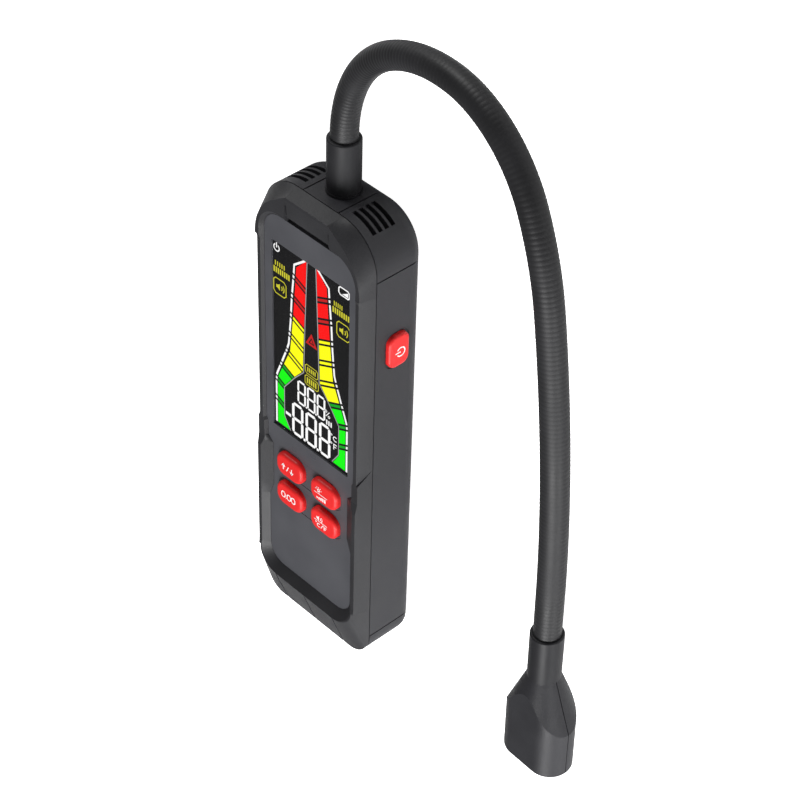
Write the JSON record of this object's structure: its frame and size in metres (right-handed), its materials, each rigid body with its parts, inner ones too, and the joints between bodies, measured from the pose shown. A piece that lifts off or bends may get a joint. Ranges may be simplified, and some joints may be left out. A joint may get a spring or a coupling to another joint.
{
  "type": "gas leak detector",
  "caption": "Hand-held gas leak detector with a graphic display, rubber keys and a slotted sensor head on a bendable gooseneck.",
  "frame": {"origin": "middle of the flat back face, on which the detector lies", "axes": "+X across the housing towards the power key and the sensor head, +Y along the housing towards the gooseneck, +Z out of the display"},
  "size_m": [0.1561, 0.2649, 0.0359],
  "materials": {
    "front_shell": "satin",
    "rear_shell": "satin",
    "battery_cover": "satin",
    "front_panel": "satin",
    "display_window": "gloss",
    "lcd": "gloss",
    "display_holder": "matte",
    "gauge_red": "satin",
    "gauge_yellow": "satin",
    "gauge_green": "satin",
    "display_digits": "satin",
    "key": "satin",
    "power_key": "satin",
    "neck_sleeve": "satin",
    "neck_core": "satin",
    "sensor_lead": "matte",
    "collar": "satin",
    "head_ferrule": "satin",
    "steel": "satin",
    "head": "satin",
    "sensor_can": "satin",
    "board": "satin",
    "component_black": "matte",
    "component_white": "matte",
    "battery_cell": "satin",
    "contact": "polished"
  },
  "bodies": {
    "housing": {"front_shell": "front_shell", "rear_shell": "rear_shell", "battery_cover": "battery_cover", "front_panel": "front_panel", "display_window": "display_window", "lcd_module": "lcd", "display_holder": "display_holder", "gauge_red": "gauge_red", "gauge_yellow": "gauge_yellow", "gauge_green": "gauge_green", "display_digits": "display_digits", "gooseneck_sleeve": "neck_sleeve", "gooseneck_core": "neck_core", "sensor_lead": "sensor_lead", "collar": "collar", "collar_nut": "steel", "case_screws": "steel", "cover_screw": "steel", "main_board": "board", "key_switches": "component_black", "power_switch": "component_black", "buzzer": "component_black", "humidity_sensor": "component_white", "lead_connector": "component_white", "battery_cells": "battery_cell", "battery_contacts": "contact"},
    "level_key": {"level_key": "key"},
    "light_key": {"light_key": "key"},
    "zero_key": {"zero_key": "key"},
    "sound_key": {"sound_key": "key"},
    "power_key": {"power_key": "power_key"},
    "head": {"head_ferrule": "head_ferrule", "head_front_half": "head", "head_rear_half": "head", "gas_sensor": "sensor_can", "sensor_board": "board"}
  },
  "joints": [
    {"name": "level_press", "type": "slide", "parent": "housing", "child": "level_key", "axis": [0, 0, -1], "range_m": [0, 0.0008], "stiffness_N_per_m": 1500, "springref_m": -0.0005},
    {"name": "light_press", "type": "slide", "parent": "housing", "child": "light_key", "axis": [0, 0, -1], "range_m": [0, 0.0008], "stiffness_N_per_m": 1500, "springref_m": -0.0005},
    {"name": "zero_press", "type": "slide", "parent": "housing", "child": "zero_key", "axis": [0, 0, -1], "range_m": [0, 0.0008], "stiffness_N_per_m": 1500, "springref_m": -0.0005},
    {"name": "sound_press", "type": "slide", "parent": "housing", "child": "sound_key", "axis": [0, 0, -1], "range_m": [0, 0.0008], "stiffness_N_per_m": 1500, "springref_m": -0.0005},
    {"name": "power_press", "type": "slide", "parent": "housing", "child": "power_key", "axis": [-1, 0, 0], "range_m": [0, 0.0008], "stiffness_N_per_m": 1500, "springref_m": -0.0005},
    {"name": "neck_bend", "type": "hinge", "parent": "housing", "child": "head", "pos_m": [0.05605, 0.1658, 0.01938], "axis": [-0.1392, 0, 0.9903], "range_deg": [-12, 30], "deforming": ["gooseneck_sleeve", "gooseneck_core", "sensor_lead"]}
  ]
}
